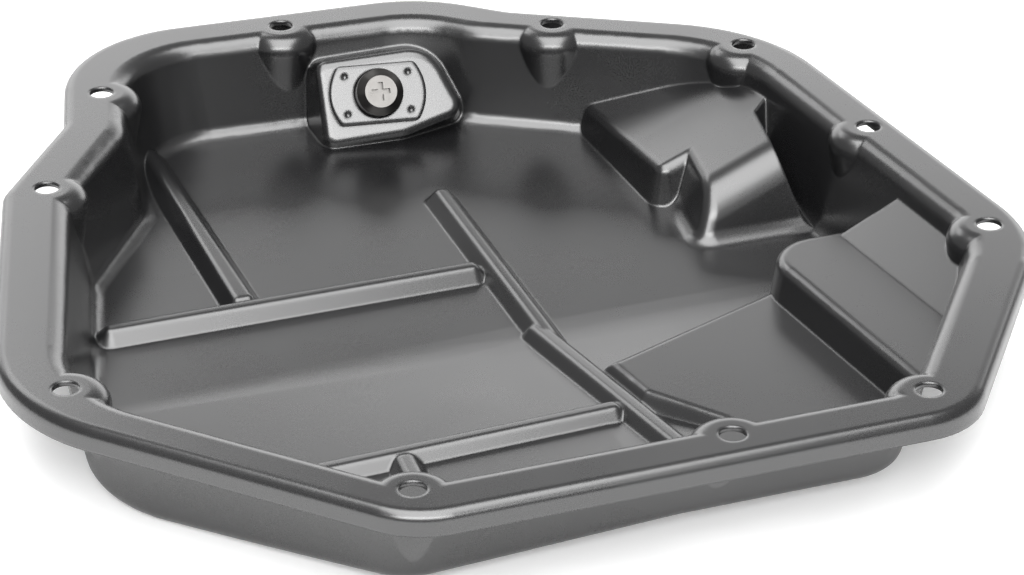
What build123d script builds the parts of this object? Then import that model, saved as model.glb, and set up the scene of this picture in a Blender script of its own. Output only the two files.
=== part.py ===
from build123d import *
import os
from math import atan, cos, radians, sin, tan

# Sheet, flange and lip
SHEET = 1.4
LIP_OUT = 3.0
LIP_DEPTH = 6.4
FLANGE_BEND = 5.0
BOLT_HOLE_R = 3.5
SCALLOP_R = 12.4
SCALLOP_TAPER = 6.0
SCALLOP_DEPTH = 32.0
OPEN_HEIGHT = 10.0

# Corners of the flat sealing face, counter-clockwise from the front left one:
# x, y, corner radius of the face, corner radius of the wall inside it
CORNERS = [
    (-59.0, -95.2, 20.0, 16.0),
    (85.4, -95.2, 20.0, 16.0),
    (142.1, -18.7, 45.0, 34.0),
    (125.6, 125.0, 50.0, 40.0),
    (57.4, 163.2, 20.0, 30.0),
    (35.9, 182.5, 40.0, 28.0),
    (-71.0, 187.9, 38.0, 26.0),
    (-84.7, 134.3, 12.0, 20.0),
    (-110.9, 97.6, 8.0, 12.0),
    (-139.0, -10.3, 50.0, 40.0),
]
INWARD_CORNERS = (4, 7)
# Distance from the face's outer edge to the wall's own line, and the wall's draft in degrees,
# for the side that starts at each corner
WALL_SIDES = [
    (13.0, 9.0),
    (14.3, 12.0),
    (13.0, 9.0),
    (11.8, 9.0),
    (13.3, 9.0),
    (13.3, 9.0),
    (14.3, 9.0),
    (14.3, 9.0),
    (15.3, 9.0),
    (11.5, 5.0),
]
BOLT_HOLES = [
    (-72.1, 151.2),
    (-101.3, 97.5),
    (-122.6, -10.8),
    (-56.2, -85.2),
    (25.4, -88.0),
    (79.9, -85.2),
    (133.7, -10.8),
    (128.3, 54.7),
    (116.5, 117.7),
    (67.9, 151.2),
    (-9.6, 177.8),
]

# Bottom: two slopes that meet in a soft crease across the pan, the front one twisting level to the left
CREASE_Y = 28.5
CREASE_Z = -33.5
CREASE_R = 150.0
BACK_SLOPE = 0.033
FRONT_SLOPE = 0.063
FRONT_SLOPE_X = 16.0
LEVEL_X = -106.0
BOTTOM_R = 4.0
BELOW = -60.0

# Stiffening beads pressed up from the bottom
BEAD_HEIGHT = 4.0
BEAD_WIDTH = 10.0
BEAD_FLANK = 40.0
BEAD_CREST_R = 2.2
BEAD_SINK = 2.0
CROSS_BEAD_Y = 65.0
CROSS_BEAD_START = -97.8
CROSS_BEAD_STOP = 16.0
BRANCH_BEAD_X = (-54.3, -57.2)
BRANCH_BEAD_STOP = 163.0
BRANCH_BEAD_WIDTH = (11.6, 9.6)
LONG_BEAD_X = (19.6, 17.4)
LONG_BEAD_Y = (18.5, 112.7)

# Beads on the front slope, measured from the point where the long bead crosses the cross bead there
FRONT_BEAD_HEIGHT = 3.4
FRONT_BEAD_WIDTH = 9.4
FRONT_BEAD_ORIGIN = (22.0, -22.7, -30.3)
FRONT_BEAD_RISE = (-0.0253, 0.055)
FRONT_LONG_BEAD = ((-4.8, 55.0), (10.0, -49.0))
FRONT_CROSS_BEAD = ((-128.0, 0.0), (2.0, 0.0))
FRONT_STUB_BEAD = ((-60.5, 0.0), (-64.6, -49.0))

# Low platform in the front right part of the bottom: outline of its flat top
PLATFORM_OUTLINE = [
    (27, -4.2),
    (30, -20.7),
    (44.4, -40.2),
    (52, -64),
    (120, -64),
    (120, 23.8),
    (100, 23.8),
    (81.5, 16.7),
]
PLATFORM_Z = -26.0
PLATFORM_CREST_R = 2.5
PLATFORM_DRAFT = 35.0

# Shelf beside it against the right wall, rising in a ramp towards the wall
SHELF_OUTLINE = [(81.5, 26.5), (96.3, -95), (150, -95), (150, 26.5)]
SHELF_Z = -15.5
SHELF_DRAFT = 8.0
SHELF_CREST_R = 3.0
SHELF_CORNER_R = 14.0
RAMP_SLOPE = 0.5
RAMP_FOOT = (108.6, 1.5)
RAMP_ALONG = (0.992, 0.1275)
RAMP_LENGTH = 40.0

# Hood in the back right part: its outline where it stands on the bottom, and the height of its low edge
HOOD_OUTLINE = [(75, 84), (108, 84), (120, 92), (150, 92), (150, 120), (130, 185), (96, 185), (72, 152), (71, 134)]
HOOD_DRAFT = 15.0
HOOD_CORNER_R = 6.0
HOOD_CREST_R = 3.5
HOOD_FOOT_Z = -31.0
HOOD_EDGE_X = 76.0
HOOD_EDGE_Z = -21.0
HOOD_SLOPE = 0.35

# Rounded nose in front of the hood, under the same climbing top
NOSE_OUTLINE = [(79, 60), (112, 60), (119, 100), (119, 125), (86, 125)]
NOSE_DRAFT = 20.0
NOSE_FRONT_R = 12.0
NOSE_SIDE_R = 4.0
NOSE_FOOT_R = 6.0
NOSE_FOOT_AREA = ((50, 28.5), (130, 88.5))

# Drain boss in the back wall: centre of its face, the face's tilt upward and its turn to the left
BOSS_CENTRE = (12.6, 153.4, -15.5)
BOSS_OUTLINE = [(-17.6, 10.7), (-16.5, -14.8), (7.5, -13.0), (26.2, -7.2), (17.5, 13.0)]
BOSS_CORNER_R = [3.0, 3.0, 10.0, 4.0, 11.0]
BOSS_TILT = 30.0
BOSS_TURN = 9.0
BOSS_DEPTH = 26.0
BOSS_DRAFT = 12.0
BOSS_EDGE_R = 2.5

# Nut plate and drain plug, thread M14 x 1.5
PLATE_WIDTH = 23.3
PLATE_BULGE = 3.0
PLATE_HEIGHT = 18.0
PLATE_THICK = 3.0
PLATE_EDGE_R = 0.8
PLATE_CORNER_R = 2.0
DIMPLE_X = 9.6
DIMPLE_Y = 5.7
DIMPLE_R = 1.0
THREAD_R = 7.0
THREAD_GAP = 0.05
PAN_HOLE_R = 7.3
SHANK_PROUD = 7.0
TIP_R = 4.8
TIP_CHAMFER = 2.2
RECESS_ARM = 1.5
RECESS_SPAN = 5.6
RECESS_DEPTH = 2.0
WASHER_R = 9.75
WASHER_BORE_R = 7.15
WASHER_THICK = 1.5
WASHER_EDGE_R = 0.2
HEAD_FLANGE_R = 9.9
HEAD_FLANGE_THICK = 2.2
HEAD_FLATS = 17.0
HEAD_HEIGHT = 7.5
HEAD_CHAMFER = 0.9


def moved_corners(insets):
    """The face's corner points after each side has moved inward by its own distance."""
    points = [Vector(x, y) for x, y, _, _ in CORNERS]
    sides = []
    for i, start in enumerate(points):
        along = (points[(i + 1) % len(points)] - start).normalized()
        inward = Vector(-along.Y, along.X)
        sides.append((start + inward * insets[i], along))
    moved = []
    for i in range(len(sides)):
        start, before = sides[i - 1]
        end, after = sides[i]
        gap = end - start
        reach = (gap.X * after.Y - gap.Y * after.X) / (before.X * after.Y - before.Y * after.X)
        moved.append(start + before * reach)
    return moved


def rounded_outline(points, radii, z):
    """Flat face at height z through the points, each corner rounded by its own radius."""
    outline = make_face(Polyline(*points, close=True))
    for point, radius in zip(points, radii):
        outline = fillet(outline.vertices().sort_by_distance(point)[0], radius)
    return Pos(0, 0, z) * outline


def face_outline(outset, z):
    """Outer outline of the sealing face, moved outward by outset."""
    points = moved_corners([-outset] * len(CORNERS))
    radii = []
    for i, (_, _, radius, _) in enumerate(CORNERS):
        radii.append(radius - outset if i in INWARD_CORNERS else radius + outset)
    return rounded_outline(points, radii, z)


def wall_outline(z, grow):
    """Outline of the drafted wall's inner face at height z, moved outward by grow."""
    insets = []
    for distance, draft in WALL_SIDES:
        insets.append(distance - z * tan(radians(draft)) - grow / cos(radians(draft)))
    radii = []
    for i, (_, _, _, radius) in enumerate(CORNERS):
        radii.append(radius - grow if i in INWARD_CORNERS else radius + grow)
    return rounded_outline(moved_corners(insets), radii, z)


def under_bottom(grow):
    """The space below the pan's bottom, lowered by grow."""
    sections = []
    twist = FRONT_SLOPE / (FRONT_SLOPE_X - LEVEL_X)
    for x in (-160.0, FRONT_SLOPE_X, 160.0):
        slope = twist * (min(x, FRONT_SLOPE_X) - LEVEL_X)
        front, back = -130.0, 220.0
        points = [
            (front, CREASE_Z + slope * (CREASE_Y - front) - grow),
            (CREASE_Y, CREASE_Z - grow),
            (back, CREASE_Z + BACK_SLOPE * (back - CREASE_Y) - grow),
            (back, BELOW),
            (front, BELOW),
        ]
        section = make_face(Polyline(*points, close=True))
        crease = section.vertices().sort_by_distance((CREASE_Y, CREASE_Z - grow))[0]
        section = fillet(crease, CREASE_R)
        sections.append(Plane(origin=(x, 0, 0), x_dir=(0, 1, 0), z_dir=(1, 0, 0)) * section)
    return loft(sections, ruled=True)


def bowl(grow):
    """The oil space inside plain drafted walls, with its rounded foot, moved outward by grow."""
    space = loft([wall_outline(OPEN_HEIGHT, grow), wall_outline(BELOW, grow)], ruled=True)
    space -= under_bottom(grow)
    bottom = space.faces().filter_by(lambda face: face.center().Z < -25)
    walls = space.faces().filter_by(lambda face: face.center().Z > -25)
    foot = bottom.edges() & walls.edges()
    return fillet(foot, BOTTOM_R + grow)


def mouth(space, grow):
    """Add the space above the sealing face, with the bend from the face down into the wall."""
    space = space + extrude(face_outline(0, -grow), OPEN_HEIGHT + grow)
    inside = face_outline(-FLANGE_BEND, -grow)
    bend = []
    for edge in space.edges():
        flat = edge.bounding_box().size.Z < 0.01
        if flat and abs(edge.center().Z + grow) < 0.01 and inside.is_inside(edge.center()):
            bend.append(edge)
    return fillet(bend, FLANGE_BEND - grow)


def side_shrink(grow, draft):
    """How far a drafted foot line moves inward when its surface sinks by grow."""
    angle = radians(draft)
    return grow * (1 - sin(angle)) / cos(angle)


def post(hole, grow):
    """Round land that the wall bends around at one bolt hole; it narrows downward into the wall."""
    low = (Align.CENTER, Align.CENTER, Align.MAX)
    foot_r = SCALLOP_R - SCALLOP_TAPER
    form = Cone(foot_r - grow, SCALLOP_R - grow, SCALLOP_DEPTH, align=low)
    form = fillet(form.edges().group_by(Axis.Z)[-1], FLANGE_BEND - grow)
    return Pos(hole[0], hole[1], -grow) * form


def bead(start, end, width, end_width, height, grow):
    """Straight bead between two points of its slope, its ends rounded, sunk by grow."""
    start, end = Vector(*start), Vector(*end)
    along = (end - start).normalized()
    side = Vector(-along.Y, along.X)
    spread = BEAD_SINK * tan(radians(BEAD_FLANK)) - side_shrink(grow, BEAD_FLANK)
    half, end_half = width / 2 + spread, end_width / 2 + spread
    first, last = start - along * spread, end + along * spread
    corners = (first - side * half, last - side * end_half, last + side * end_half, first + side * half)
    base = make_face(Polyline(*corners, close=True))
    base = fillet(base.vertices(), min(half, end_half) - 0.6)
    form = extrude(Pos(0, 0, -BEAD_SINK - grow) * base, height + BEAD_SINK, taper=BEAD_FLANK)
    crest = form.faces().sort_by(Axis.Z)[-1].edges()
    return fillet(crest, BEAD_CREST_R - grow)


def back_slope(grow):
    """Plane of the bottom behind its crease, sunk by grow."""
    return Plane(origin=(0, CREASE_Y, CREASE_Z - grow), x_dir=(1, 0, 0), z_dir=(0, -BACK_SLOPE, 1))


def back_beads(grow):
    """Beads on the back slope: one across, one from it to the back wall, and the long one."""
    across = CROSS_BEAD_Y - CREASE_Y
    cross = bead((CROSS_BEAD_START, across), (CROSS_BEAD_STOP, across), BEAD_WIDTH, BEAD_WIDTH, BEAD_HEIGHT, grow)
    start = (BRANCH_BEAD_X[0], across)
    stop = (BRANCH_BEAD_X[1], BRANCH_BEAD_STOP - CREASE_Y)
    branch = bead(start, stop, *BRANCH_BEAD_WIDTH, BEAD_HEIGHT, grow)
    start = (LONG_BEAD_X[0], LONG_BEAD_Y[0] - CREASE_Y)
    stop = (LONG_BEAD_X[1], LONG_BEAD_Y[1] - CREASE_Y)
    long_one = bead(start, stop, BEAD_WIDTH, BEAD_WIDTH, BEAD_HEIGHT, grow)
    return back_slope(0) * (cross + branch + long_one)


def front_beads(grow):
    """The long bead's slanting end, the front cross bead and the stub towards the front bolt."""
    normal = (*FRONT_BEAD_RISE, 1)
    slope = Plane(origin=FRONT_BEAD_ORIGIN, x_dir=(1, 0, -FRONT_BEAD_RISE[0]), z_dir=normal)
    wide = FRONT_BEAD_WIDTH
    beads = bead(*FRONT_LONG_BEAD, wide, wide, FRONT_BEAD_HEIGHT, grow)
    beads += bead(*FRONT_CROSS_BEAD, wide, wide, FRONT_BEAD_HEIGHT, grow)
    beads += bead(*FRONT_STUB_BEAD, wide, wide, FRONT_BEAD_HEIGHT, grow)
    return slope * beads


def terrace(top_outline, level, draft, crest_r, grow):
    """Raised form given by the outline of its flat top; it stands on the bottom and is sunk by grow."""
    shrink = side_shrink(grow, draft)
    top = offset(top_outline, -shrink, kind=Kind.INTERSECTION) if grow else top_outline
    deep = 30.0
    form = extrude(Pos(0, 0, level - grow) * top, deep, dir=(0, 0, -1), taper=-draft)
    crest = form.faces().sort_by(Axis.Z)[-1].edges()
    return fillet(crest, crest_r - grow)


def platform(grow):
    """Low flat platform right of the long bead."""
    outline = make_face(Polyline(*PLATFORM_OUTLINE, close=True))
    return terrace(outline, PLATFORM_Z, PLATFORM_DRAFT, PLATFORM_CREST_R, grow)


def shelf(grow):
    """Shelf at the right wall; beyond a slanting line its top climbs in a ramp to the wall."""
    outline = make_face(Polyline(*SHELF_OUTLINE, close=True))
    corner = outline.vertices().sort_by_distance(SHELF_OUTLINE[0])[0]
    outline = fillet(corner, SHELF_CORNER_R)
    form = terrace(outline, SHELF_Z, SHELF_DRAFT, SHELF_CREST_R, grow)
    along_x, along_y = RAMP_ALONG
    across = Plane(origin=(*RAMP_FOOT, SHELF_Z), x_dir=(along_x, along_y, 0), z_dir=(along_y, -along_x, 0))
    rise = RAMP_LENGTH * RAMP_SLOPE
    below = SHELF_Z
    wedge = make_face(Polyline((0, 0), (RAMP_LENGTH, rise), (RAMP_LENGTH, below), (0, below), close=True))
    drop = Pos(0, -grow / cos(atan(RAMP_SLOPE)), 0)
    ramp = extrude(across * (drop * wedge), 150, both=True)
    inner = offset(outline, -SHELF_CREST_R - grow, kind=Kind.INTERSECTION)
    return form + (ramp & extrude(Pos(0, 0, -40) * inner, 40))


def climbing_block(outline, draft, grow):
    """Drafted block standing on the bottom, given by its foot outline and cut by the hood's climbing top."""
    lift = (HOOD_FOOT_Z - BELOW) * tan(radians(draft))
    foot = offset(outline, lift - side_shrink(grow, draft), kind=Kind.INTERSECTION)
    block = extrude(Pos(0, 0, BELOW - grow) * foot, -BELOW, taper=draft)
    climb = Plane(origin=(HOOD_EDGE_X, 0, HOOD_EDGE_Z), x_dir=(1, 0, HOOD_SLOPE), z_dir=(-HOOD_SLOPE, 0, 1))
    return block - climb * extrude(Pos(0, 0, -grow) * Rectangle(400, 600), 100)


def top_edges(block):
    """Edges round a climbing block's top."""
    top = block.faces().filter_by(lambda face: face.center().Z > -25 and face.normal_at().Z > 0.8)
    return top.edges()


def hood(grow):
    """Hood in the back right: steep sides and a top that climbs to the right wall."""
    outline = make_face(Polyline(*HOOD_OUTLINE, close=True))
    for corner in (HOOD_OUTLINE[0], HOOD_OUTLINE[-2]):
        outline = fillet(outline.vertices().sort_by_distance(corner)[0], HOOD_CORNER_R)
    block = climbing_block(outline, HOOD_DRAFT, grow)
    crest = top_edges(block).filter_by(lambda edge: edge.center().X < 110 and edge.center().Y < 150)
    return fillet(crest, HOOD_CREST_R - grow)


def nose(grow):
    """Rounded nose that the hood pushes out towards the front, with a wide hollow round its foot."""
    block = climbing_block(make_face(Polyline(*NOSE_OUTLINE, close=True)), NOSE_DRAFT, grow)
    block = fillet(top_edges(block).sort_by(Axis.Y)[0], NOSE_FRONT_R - grow)
    left = block.faces().filter_by(lambda face: face.normal_at().X < -0.8).sort_by(Axis.X)[0]
    block = fillet(left.edges().filter_by(lambda edge: edge.center().Z > BELOW + 1), NOSE_SIDE_R - grow)
    (left_x, front_y), (right_x, back_y) = NOSE_FOOT_AREA
    ground = Pos((left_x + right_x) / 2, (front_y + back_y) / 2 - CREASE_Y, 0)
    block += back_slope(grow) * ground * extrude(Rectangle(right_x - left_x, back_y - front_y), BELOW / 4)
    foot = []
    for edge in block.edges():
        x, y, z = edge.center()
        level = CREASE_Z - grow + BACK_SLOPE * (y - CREASE_Y)
        if abs(z - level) < 0.3 and left_x + 1 < x < right_x - 1 and front_y + 1 < y < back_y - 1:
            foot.append(edge)
    return fillet(foot, NOSE_FOOT_R + grow)


def boss_plane():
    """The boss's flat inner face, on the plug's axis, seen from inside the pan."""
    tilt, turn = radians(BOSS_TILT), radians(BOSS_TURN)
    inward = (-sin(turn) * cos(tilt), -cos(turn) * cos(tilt), sin(tilt))
    return Plane(origin=BOSS_CENTRE, x_dir=(cos(turn), -sin(turn), 0), z_dir=inward)


def boss(grow):
    """Boss pressed in from the back wall; its slanting flat face carries the drain plug."""
    outline = make_face(Polyline(*BOSS_OUTLINE, close=True))
    for corner, radius in zip(BOSS_OUTLINE, BOSS_CORNER_R):
        outline = fillet(outline.vertices().sort_by_distance(corner)[0], radius)
    shrink = side_shrink(grow, BOSS_DRAFT)
    if grow:
        outline = offset(outline, -shrink)
    form = extrude(Pos(0, 0, -grow) * outline, BOSS_DEPTH, dir=(0, 0, -1), taper=-BOSS_DRAFT)
    rim = form.faces().sort_by(Axis.Z)[-1].edges()
    return boss_plane() * fillet(rim, BOSS_EDGE_R - grow)


def pressed_form(grow):
    """Everything above the sheet's inner face; sunk by grow it is everything above its outer face."""
    form = mouth(bowl(grow), grow)
    for hole in BOLT_HOLES:
        form -= post(hole, grow)
    form -= back_beads(grow)
    form -= front_beads(grow)
    form -= platform(grow)
    form -= shelf(grow)
    form -= hood(grow)
    form -= nose(grow)
    form -= boss(grow)
    return form


def lip():
    """Edge of the flange, bent down in a round all the way around the sealing face."""
    outside = extrude(face_outline(LIP_OUT, -LIP_DEPTH), LIP_DEPTH)
    outside = fillet(outside.edges().group_by(Axis.Z)[-1], LIP_OUT)
    inside = extrude(face_outline(LIP_OUT - SHEET, -LIP_DEPTH), LIP_DEPTH - SHEET)
    inside = fillet(inside.edges().group_by(Axis.Z)[-1], LIP_OUT - SHEET)
    return outside - inside - extrude(face_outline(-1.0, -LIP_DEPTH), LIP_DEPTH)


def oil_pan():
    """The pressed pan: one sheet, with its lip, bolt holes and the hole for the plug."""
    pan = pressed_form(SHEET) - pressed_form(0) + lip()
    for x, y in BOLT_HOLES:
        pan -= Pos(x, y, 0) * Cylinder(BOLT_HOLE_R, 4 * SHEET)
    through = boss_plane() * Cylinder(PAN_HOLE_R, 4 * SHEET)
    return pan - through


def nut_plate():
    """Thick plate welded on the inner face of the boss: bulged ends and four weld dimples."""
    half, high = PLATE_WIDTH / 2, PLATE_HEIGHT / 2
    outline = make_face([
        Line((-half, -high), (half, -high)),
        ThreePointArc((half, -high), (half + PLATE_BULGE, 0), (half, high)),
        Line((half, high), (-half, high)),
        ThreePointArc((-half, high), (-half - PLATE_BULGE, 0), (-half, -high)),
    ])
    outline = fillet(outline.vertices(), PLATE_CORNER_R)
    plate = extrude(outline, PLATE_THICK)
    plate = fillet(plate.faces().sort_by(Axis.Z)[-1].edges(), PLATE_EDGE_R)
    for x in (-DIMPLE_X, DIMPLE_X):
        for y in (-DIMPLE_Y, DIMPLE_Y):
            plate -= Pos(x, y, PLATE_THICK + 0.2) * Sphere(DIMPLE_R)
    plate -= Cylinder(THREAD_R + THREAD_GAP, 4 * PLATE_THICK)
    return boss_plane() * plate


def washer():
    """Flat sealing ring between the plug's flange and the outside of the boss."""
    ring = Cylinder(WASHER_R, WASHER_THICK, align=(Align.CENTER, Align.CENTER, Align.MAX))
    ring -= Cylinder(WASHER_BORE_R, 4 * WASHER_THICK)
    ring = fillet(ring.edges(), WASHER_EDGE_R)
    return boss_plane() * (Pos(0, 0, -SHEET) * ring)


def plug():
    """Flanged hexagon plug outside the boss; its tapered end with a cross recess stands inside."""
    seat = -SHEET - WASHER_THICK
    down = (Align.CENTER, Align.CENTER, Align.MAX)
    up = (Align.CENTER, Align.CENTER, Align.MIN)
    end = PLATE_THICK + SHANK_PROUD
    shank = Pos(0, 0, seat) * Cylinder(THREAD_R, end - seat, align=up)
    shank = chamfer(shank.edges().group_by(Axis.Z)[-1], TIP_CHAMFER, THREAD_R - TIP_R)
    flange = Pos(0, 0, seat) * Cylinder(HEAD_FLANGE_R, HEAD_FLANGE_THICK, align=down)
    flange = chamfer(flange.edges().group_by(Axis.Z)[0], HEAD_CHAMFER)
    flats = RegularPolygon(HEAD_FLATS / 2, 6, major_radius=False)
    head = extrude(Pos(0, 0, seat - HEAD_FLANGE_THICK) * flats, HEAD_HEIGHT, dir=(0, 0, -1))
    corners = Pos(0, 0, seat - HEAD_FLANGE_THICK) * Cylinder(HEAD_FLATS / 2 + HEAD_CHAMFER, HEAD_HEIGHT, align=down)
    corners = chamfer(corners.edges().group_by(Axis.Z)[0], HEAD_CHAMFER)
    body = shank + flange + (head & corners)
    for turn in (0, 90):
        arm = Rot(0, 0, turn) * Box(RECESS_SPAN, RECESS_ARM, 2 * RECESS_DEPTH)
        body -= Pos(0, 0, end) * arm
    return boss_plane() * body


os.makedirs("parts", exist_ok=True)
pan = oil_pan()
extent = pan.bounding_box()
ground = Pos(-extent.center().X, -extent.center().Y, -extent.min.Z)
pieces = {
    "oil_pan": pan,
    "drain_nut_plate": nut_plate(),
    "drain_plug": plug(),
    "drain_plug_washer": washer(),
}
for name, piece in pieces.items():
    export_step(ground * piece, f"parts/{name}.step")
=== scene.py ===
"""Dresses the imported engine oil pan: black satin coat, bare plug steel, washer, floor, lights and camera."""

import math

import bpy
from mathutils import Matrix, Vector

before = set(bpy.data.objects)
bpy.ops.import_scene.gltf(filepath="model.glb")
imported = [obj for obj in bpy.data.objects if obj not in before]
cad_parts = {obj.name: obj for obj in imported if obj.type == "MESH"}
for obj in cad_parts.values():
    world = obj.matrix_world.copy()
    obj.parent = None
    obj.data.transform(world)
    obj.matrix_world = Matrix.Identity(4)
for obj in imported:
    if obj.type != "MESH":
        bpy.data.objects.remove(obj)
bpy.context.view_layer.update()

bl_info = {
    "name": "Engine oil pan",
    "version": (1, 0, 0),
    "blender": (4, 5, 0),
    "location": "3D View > Sidebar > Oil pan",
    "description": "Finishes for a pressed steel engine oil pan with its drain plug",
    "category": "Object",
}

MM = 0.001

# Average of a noise texture, and the rays that round one point of an edge
MIDDLE_NOISE = 0.5
BEVEL_SAMPLES = 8

# Where the photograph was taken from, in the frame's metres
CAMERA_PLACE = Vector((-0.28636, -0.82299, 0.49157))
CAMERA_AIM = Vector((-0.003361, -0.04559, 0.034867))
CAMERA_LENS = 126.56
CAMERA_SENSOR = 36.0
CAMERA_NEAREST = 0.01


# Sizes and colours that a user would change

class CoatSettings(bpy.types.PropertyGroup):
    """Black dipped coat on the pressed steel."""

    colour: bpy.props.FloatVectorProperty(
        name="Coat colour", description="Black of the dipped coat",
        default=(0.004, 0.004, 0.0044), min=0, max=1, size=3, subtype="COLOR")
    pale_colour: bpy.props.FloatVectorProperty(
        name="Bloom colour", description="Slightly paler black where the coat is thin",
        default=(0.008, 0.008, 0.0086), min=0, max=1, size=3, subtype="COLOR")
    roughness: bpy.props.FloatProperty(
        name="Roughness", description="Blur of the coat's satin gloss", default=0.28, min=0, max=1,
        subtype="FACTOR")
    roughness_drift: bpy.props.FloatProperty(
        name="Roughness drift", description="How much the gloss changes from place to place",
        default=0.05, min=0, max=1, subtype="FACTOR")
    cloud_size: bpy.props.FloatProperty(
        name="Cloud size", description="Width of a paler or duller patch", default=45 * MM, unit="LENGTH")
    peel_size: bpy.props.FloatProperty(
        name="Peel size", description="Width of one dimple of the coat's orange peel",
        default=1.3 * MM, unit="LENGTH")
    reflectance: bpy.props.FloatProperty(
        name="Refractive index", description="Strength of the coat's gloss", default=1.95, min=1, max=3)
    soft_edge: bpy.props.FloatProperty(
        name="Soft edge", description="Radius that the dipped coat leaves in the sheet's inner corners",
        default=1.3 * MM, unit="LENGTH")
    peel_height: bpy.props.FloatProperty(
        name="Peel height", description="Height of the coat's orange peel", default=0.004 * MM,
        precision=6, unit="LENGTH")
    specks_per_peel: bpy.props.FloatProperty(
        name="Specks per dimple", description="Fine specks across one dimple of the orange peel", default=4.0)
    speck_drift: bpy.props.FloatProperty(
        name="Speck drift", description="How much the gloss changes from speck to speck", default=0.04,
        min=0, max=1, subtype="FACTOR")


class SteelSettings(bpy.types.PropertyGroup):
    """Turned steel of the drain plug."""

    colour: bpy.props.FloatVectorProperty(
        name="Steel colour", description="Bare steel of the plug", default=(0.17, 0.165, 0.16),
        min=0, max=1, size=3, subtype="COLOR")
    stain_colour: bpy.props.FloatVectorProperty(
        name="Stain colour", description="Darker oiled steel", default=(0.05, 0.048, 0.045),
        min=0, max=1, size=3, subtype="COLOR")
    roughness: bpy.props.FloatProperty(
        name="Roughness", description="Blur of the turned face", default=0.3, min=0, max=1,
        subtype="FACTOR")
    turning_width: bpy.props.FloatProperty(
        name="Tool mark width", description="Spacing of the turned marks", default=0.12 * MM, unit="LENGTH")
    turning_height: bpy.props.FloatProperty(
        name="Tool mark height", description="Height of the turned marks", default=0.003 * MM, precision=6,
        unit="LENGTH")
    stain_size: bpy.props.FloatProperty(
        name="Stain size", description="Width of one stain", default=1000 / 260 * MM, unit="LENGTH")
    roughness_drift: bpy.props.FloatProperty(
        name="Roughness drift", description="How much duller a stain is", default=0.2, min=0, max=1,
        subtype="FACTOR")


class WasherSettings(bpy.types.PropertyGroup):
    """Soft aluminium of the sealing washer."""

    colour: bpy.props.FloatVectorProperty(
        name="Aluminium colour", description="Washer metal", default=(0.72, 0.72, 0.73),
        min=0, max=1, size=3, subtype="COLOR")
    roughness: bpy.props.FloatProperty(
        name="Roughness", description="Blur of the stamped faces", default=0.35, min=0, max=1,
        subtype="FACTOR")
    roughness_drift: bpy.props.FloatProperty(
        name="Roughness drift", description="How much duller a scratch is", default=0.25, min=0, max=1,
        subtype="FACTOR")
    scratch_shade: bpy.props.FloatProperty(
        name="Scratch shade", description="Brightness of a scratch beside the bare metal", default=0.75,
        min=0, max=1, subtype="FACTOR")
    scratch_size: bpy.props.FloatProperty(
        name="Scratch size", description="Width of one scratch", default=1000 / 900 * MM, unit="LENGTH")
    scratch_height: bpy.props.FloatProperty(
        name="Scratch height", description="Depth of the scratches", default=0.004 * MM, precision=6,
        unit="LENGTH")


class StageSettings(bpy.types.PropertyGroup):
    """Floor and lights."""

    floor_colour: bpy.props.FloatVectorProperty(
        name="Floor colour", description="Plain pale floor", default=(0.86, 0.86, 0.86),
        min=0, max=1, size=3, subtype="COLOR")
    floor_glow: bpy.props.FloatProperty(
        name="Floor glow", description="Brightness that only the camera sees on the floor", default=0.25)
    floor_size: bpy.props.FloatProperty(
        name="Floor size", description="Side of the square floor", default=3.6, unit="LENGTH")
    back_strength: bpy.props.FloatProperty(
        name="Back light", description="Brightness of the long soft light behind", default=2.2)
    back_angle: bpy.props.FloatProperty(
        name="Back light angle", description="Degrees above the back horizon", default=14.5)
    back_width: bpy.props.FloatProperty(
        name="Back light width", description="Across the view", default=3.0, unit="LENGTH")
    back_height: bpy.props.FloatProperty(
        name="Back light height", description="Along the arc", default=0.75, unit="LENGTH")
    back_reach: bpy.props.FloatProperty(
        name="Back light distance", description="Pan to back light", default=1.6, unit="LENGTH")
    top_strength: bpy.props.FloatProperty(
        name="Top light", description="Brightness of the large soft light overhead", default=5.0)
    top_reach: bpy.props.FloatProperty(
        name="Top light distance", description="Pan to overhead light", default=1.3, unit="LENGTH")
    top_angle: bpy.props.FloatProperty(
        name="Top light angle", description="Degrees along the arc from the back horizon", default=112.0)
    top_width: bpy.props.FloatProperty(
        name="Top light width", description="Across the arc", default=1.35, unit="LENGTH")
    top_length: bpy.props.FloatProperty(
        name="Top light length", description="Along the arc", default=1.9, unit="LENGTH")
    fill_strength: bpy.props.FloatProperty(
        name="Fill", description="Brightness of the room round the stage", default=0.30)
    front_strength: bpy.props.FloatProperty(
        name="Front light", description="Brightness of the soft light above the camera", default=7.0)
    front_angle: bpy.props.FloatProperty(
        name="Front light angle", description="Degrees along the arc from the back horizon", default=148.0)
    front_size: bpy.props.FloatVectorProperty(
        name="Front light size", description="Across the arc and along it", default=(1.5, 0.3), size=2,
        unit="LENGTH")
    side_strength: bpy.props.FloatProperty(
        name="Side light", description="Brightness of the soft light at the back left", default=3.2)
    side_angle: bpy.props.FloatProperty(
        name="Side light angle", description="Degrees above the horizon", default=36.0)
    side_turn: bpy.props.FloatProperty(
        name="Side light turn", description="Degrees to the left of the view", default=31.0)
    side_size: bpy.props.FloatVectorProperty(
        name="Side light size", description="Across and up", default=(0.8, 0.4), size=2, unit="LENGTH")


# Places of the colour sockets on a Mix node
MIX_FACTOR = 0
MIX_FIRST_COLOUR = 6
MIX_SECOND_COLOUR = 7
MIX_COLOUR_RESULT = 2


# Shader maths

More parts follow.
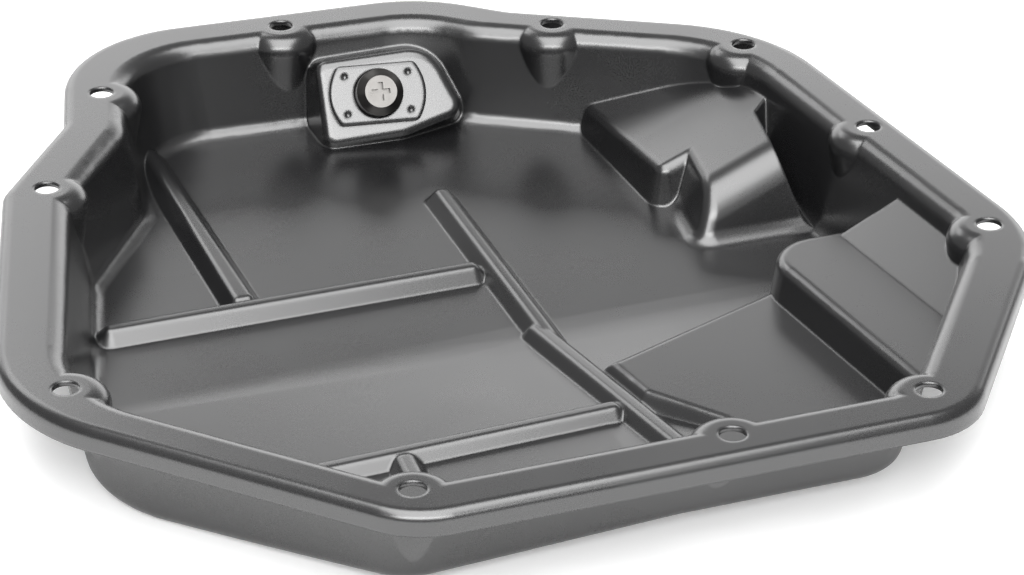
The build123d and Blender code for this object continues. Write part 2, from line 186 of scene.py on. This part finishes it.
class Wire:
    """An output socket that works in Python expressions."""

    def __init__(self, tree, socket):
        self.tree = tree
        self.socket = socket

    def _math(self, operation, first, second):
        return self.tree.node("ShaderNodeMath", {"operation": operation}, {0: first, 1: second})

    def __add__(self, other):
        return self._math("ADD", self, other)

    __radd__ = __add__

    def __sub__(self, other):
        return self._math("SUBTRACT", self, other)

    def __rsub__(self, other):
        return self._math("SUBTRACT", other, self)

    def __mul__(self, other):
        return self._math("MULTIPLY", self, other)

    __rmul__ = __mul__

    def __truediv__(self, other):
        return self._math("DIVIDE", self, other)

    def __rtruediv__(self, other):
        return self._math("DIVIDE", other, self)

    def __pow__(self, other):
        return self._math("POWER", self, other)


class NodeTree:
    """Adds nodes to one material or world, and hands back their outputs as wires."""

    def __init__(self, owner):
        owner.use_nodes = True
        self.tree = owner.node_tree
        self.tree.nodes.clear()

    def node(self, kind, settings=None, sockets=None, output=0):
        """Makes a node: its settings are set first, then its sockets get numbers, colours or wires."""
        made = self.tree.nodes.new(kind)
        for name, value in (settings or {}).items():
            setattr(made, name, value)
        for name, value in (sockets or {}).items():
            if isinstance(value, Wire):
                self.tree.links.new(value.socket, made.inputs[name])
            else:
                made.inputs[name].default_value = value
        return Wire(self, made.outputs[output]) if made.outputs else made

    def mix_colour(self, factor, first, second):
        """Colour between two colours, through the Mix node's own colour sockets."""
        sockets = {MIX_FACTOR: factor, MIX_FIRST_COLOUR: first, MIX_SECOND_COLOUR: second}
        return self.node("ShaderNodeMix", {"data_type": "RGBA"}, sockets, MIX_COLOUR_RESULT)


def opaque(colour):
    return (*colour, 1.0)


def coat_material(coat):
    """Black dipped coat: near-black, satin, with soft clouds in its gloss and a fine orange peel."""
    material = bpy.data.materials.new("black_coat")
    tree = NodeTree(material)
    place = tree.node("ShaderNodeTexCoord", output="Object")
    cloud = tree.node("ShaderNodeTexNoise", None,
                      {"Vector": place, "Scale": 1 / coat.cloud_size, "Detail": 3.0, "Roughness": 0.55})
    speck = tree.node("ShaderNodeTexNoise", None,
                      {"Vector": place, "Scale": coat.specks_per_peel / coat.peel_size, "Detail": 2.0})
    peel = tree.node("ShaderNodeTexNoise", None,
                     {"Vector": place, "Scale": 1 / coat.peel_size, "Detail": 1.5})
    colour = tree.mix_colour(cloud, opaque(coat.colour), opaque(coat.pale_colour))
    patches = (cloud - MIDDLE_NOISE) * (2 * coat.roughness_drift)
    specks = (speck - MIDDLE_NOISE) * coat.speck_drift
    roughness = coat.roughness + patches + specks
    rounded = tree.node("ShaderNodeBevel", {"samples": BEVEL_SAMPLES}, {"Radius": coat.soft_edge})
    normal = tree.node("ShaderNodeBump", None,
                       {"Strength": 1.0, "Distance": coat.peel_height, "Height": peel, "Normal": rounded})
    shader = tree.node("ShaderNodeBsdfPrincipled", None,
                       {"Base Color": colour, "Roughness": roughness, "Normal": normal,
                        "IOR": coat.reflectance})
    tree.node("ShaderNodeOutputMaterial", None, {"Surface": shader})
    return material


def steel_material(steel):
    """Bare plug steel: fine tool marks, oily stains and a little dulling."""
    material = bpy.data.materials.new("plug_steel")
    tree = NodeTree(material)
    place = tree.node("ShaderNodeTexCoord", output="Object")
    stain = tree.node("ShaderNodeTexNoise", None,
                      {"Vector": place, "Scale": 1 / steel.stain_size, "Detail": 4.0})
    marks = tree.node("ShaderNodeTexNoise", None,
                      {"Vector": place, "Scale": 1 / steel.turning_width, "Detail": 1.0})
    colour = tree.mix_colour(stain, opaque(steel.stain_colour), opaque(steel.colour))
    roughness = steel.roughness + (stain - MIDDLE_NOISE) * steel.roughness_drift
    normal = tree.node("ShaderNodeBump", None,
                       {"Strength": 1.0, "Distance": steel.turning_height, "Height": marks})
    shader = tree.node("ShaderNodeBsdfPrincipled", None,
                       {"Base Color": colour, "Metallic": 1.0, "Roughness": roughness, "Normal": normal})
    tree.node("ShaderNodeOutputMaterial", None, {"Surface": shader})
    return material


def washer_material(washer):
    """Soft aluminium: pale, with fine stamping scratches."""
    material = bpy.data.materials.new("washer_metal")
    tree = NodeTree(material)
    place = tree.node("ShaderNodeTexCoord", output="Object")
    scratch = tree.node("ShaderNodeTexNoise", None,
                        {"Vector": place, "Scale": 1 / washer.scratch_size, "Detail": 3.0})
    shaded = [washer.scratch_shade * part for part in washer.colour]
    colour = tree.mix_colour(scratch, opaque(shaded), opaque(washer.colour))
    roughness = washer.roughness + (scratch - MIDDLE_NOISE) * washer.roughness_drift
    normal = tree.node("ShaderNodeBump", None,
                       {"Strength": 1.0, "Distance": washer.scratch_height, "Height": scratch})
    shader = tree.node("ShaderNodeBsdfPrincipled", None,
                       {"Base Color": colour, "Metallic": 1.0, "Roughness": roughness, "Normal": normal})
    tree.node("ShaderNodeOutputMaterial", None, {"Surface": shader})
    return material


def give(piece, material):
    """Puts one material on a piece."""
    piece.data.materials.clear()
    piece.data.materials.append(material)


class OILPAN_OT_coated_steel(bpy.types.Operator):
    """Gives the pressed pan and the nut plate their black coat"""

    bl_idname = "oilpan.coated_steel"
    bl_label = "Coated pan"

    def execute(self, context):
        material = coat_material(context.scene.oilpan_coat)
        for name in ("oil_pan", "drain_nut_plate"):
            give(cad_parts[name], material)
        return {"FINISHED"}


class OILPAN_OT_drain_plug(bpy.types.Operator):
    """Gives the drain plug its bare turned steel"""

    bl_idname = "oilpan.drain_plug"
    bl_label = "Drain plug"

    def execute(self, context):
        give(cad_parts["drain_plug"], steel_material(context.scene.oilpan_steel))
        return {"FINISHED"}


class OILPAN_OT_washer(bpy.types.Operator):
    """Gives the sealing washer its soft aluminium"""

    bl_idname = "oilpan.washer"
    bl_label = "Sealing washer"

    def execute(self, context):
        give(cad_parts["drain_plug_washer"], washer_material(context.scene.oilpan_washer))
        return {"FINISHED"}


def soft_light(name, place, aim, size, strength):
    """A rectangular soft light of a stated brightness, turned toward a point and unseen by the camera."""
    width, height = size
    data = bpy.data.lights.new(name, "AREA")
    data.shape = "RECTANGLE"
    data.size = width
    data.size_y = height
    data.energy = strength * math.pi * width * height
    light = bpy.data.objects.new(name, data)
    light.location = place
    light.rotation_euler = (Vector(aim) - Vector(place)).to_track_quat("-Z", "Y").to_euler()
    light.visible_camera = False
    bpy.context.scene.collection.objects.link(light)
    return light


def arc_light(name, aim, angle, reach, size, strength, turn=0.0):
    """A soft light on the arc from the back horizon (0 degrees) over the pan to the front, or left of it."""
    ahead = (aim - CAMERA_PLACE).to_2d().normalized()
    ahead.rotate(Matrix.Rotation(math.radians(turn), 2))
    level = reach * math.cos(math.radians(angle))
    height = reach * math.sin(math.radians(angle))
    place = (aim.x + ahead.x * level, aim.y + ahead.y * level, aim.z + height)
    return soft_light(name, place, aim, size, strength)


def floor_piece(stage):
    """The pale floor, which the camera sees as white where no shadow falls."""
    half = stage.floor_size / 2
    mesh = bpy.data.meshes.new("floor")
    mesh.from_pydata([(-half, -half, 0), (half, -half, 0), (half, half, 0), (-half, half, 0)], [],
                     [(0, 1, 2, 3)])
    floor = bpy.data.objects.new("floor", mesh)
    bpy.context.scene.collection.objects.link(floor)
    material = bpy.data.materials.new("floor")
    tree = NodeTree(material)
    seen = tree.node("ShaderNodeLightPath", output="Is Camera Ray")
    diffuse = tree.node("ShaderNodeBsdfDiffuse", None, {"Color": opaque(stage.floor_colour)})
    glow = tree.node("ShaderNodeEmission", None, {"Color": (1, 1, 1, 1), "Strength": seen * stage.floor_glow})
    both = tree.node("ShaderNodeAddShader", None, {0: diffuse, 1: glow})
    tree.node("ShaderNodeOutputMaterial", None, {"Surface": both})
    mesh.materials.append(material)
    return floor


def room(stage):
    """World: white to the camera, dim everywhere else."""
    world = bpy.data.worlds.new("room")
    bpy.context.scene.world = world
    tree = NodeTree(world)
    seen = tree.node("ShaderNodeLightPath", output="Is Camera Ray")
    strength = seen * (1 - stage.fill_strength) + stage.fill_strength
    sky = tree.node("ShaderNodeBackground", None, {"Color": (1, 1, 1, 1), "Strength": strength})
    tree.node("ShaderNodeOutputWorld", None, {"Surface": sky})


class OILPAN_OT_stage(bpy.types.Operator):
    """Sets up the floor, the soft lights and the camera"""

    bl_idname = "oilpan.stage"
    bl_label = "Stage"

    def execute(self, context):
        stage = context.scene.oilpan_stage
        scene = context.scene
        scene.view_settings.view_transform = "Standard"
        floor_piece(stage)
        room(stage)
        aim = CAMERA_AIM
        back_size = (stage.back_width, stage.back_height)
        arc_light("back_light", aim, stage.back_angle, stage.back_reach, back_size, stage.back_strength)
        top_size = (stage.top_width, stage.top_length)
        arc_light("top_light", aim, stage.top_angle, stage.top_reach, top_size, stage.top_strength)
        arc_light("front_light", aim, stage.front_angle, stage.top_reach, stage.front_size,
                  stage.front_strength)
        arc_light("side_light", aim, stage.side_angle, stage.back_reach, stage.side_size, stage.side_strength,
                  stage.side_turn)
        data = bpy.data.cameras.new("camera")
        data.lens = CAMERA_LENS
        data.sensor_width = CAMERA_SENSOR
        data.clip_start = CAMERA_NEAREST
        camera = bpy.data.objects.new("camera", data)
        camera.location = CAMERA_PLACE
        camera.rotation_euler = (aim - CAMERA_PLACE).to_track_quat("-Z", "Y").to_euler()
        scene.collection.objects.link(camera)
        scene.camera = camera
        return {"FINISHED"}


class OILPAN_PT_panel(bpy.types.Panel):
    """Lists the oil pan's pieces and its stage"""

    bl_idname = "OILPAN_PT_panel"
    bl_label = "Oil pan"
    bl_space_type = "VIEW_3D"
    bl_region_type = "UI"
    bl_category = "Oil pan"

    def draw(self, context):
        for operator, settings in STEPS:
            box = self.layout.box()
            box.operator(operator.bl_idname)
            group = getattr(context.scene, settings)
            for name in group.__annotations__:
                box.prop(group, name)


STEPS = (
    (OILPAN_OT_coated_steel, "oilpan_coat"),
    (OILPAN_OT_drain_plug, "oilpan_steel"),
    (OILPAN_OT_washer, "oilpan_washer"),
    (OILPAN_OT_stage, "oilpan_stage"),
)
SETTINGS = {
    "oilpan_coat": CoatSettings,
    "oilpan_steel": SteelSettings,
    "oilpan_washer": WasherSettings,
    "oilpan_stage": StageSettings,
}


def register():
    for name, settings in SETTINGS.items():
        bpy.utils.register_class(settings)
        setattr(bpy.types.Scene, name, bpy.props.PointerProperty(type=settings))
    for operator, _ in STEPS:
        bpy.utils.register_class(operator)
    bpy.utils.register_class(OILPAN_PT_panel)


def unregister():
    bpy.utils.unregister_class(OILPAN_PT_panel)
    for operator, _ in reversed(STEPS):
        bpy.utils.unregister_class(operator)
    for name, settings in SETTINGS.items():
        delattr(bpy.types.Scene, name)
        bpy.utils.unregister_class(settings)


def main():
    register()
    bpy.ops.oilpan.coated_steel()
    bpy.ops.oilpan.drain_plug()
    bpy.ops.oilpan.washer()
    bpy.ops.oilpan.stage()


if __name__ == "__main__":
    main()
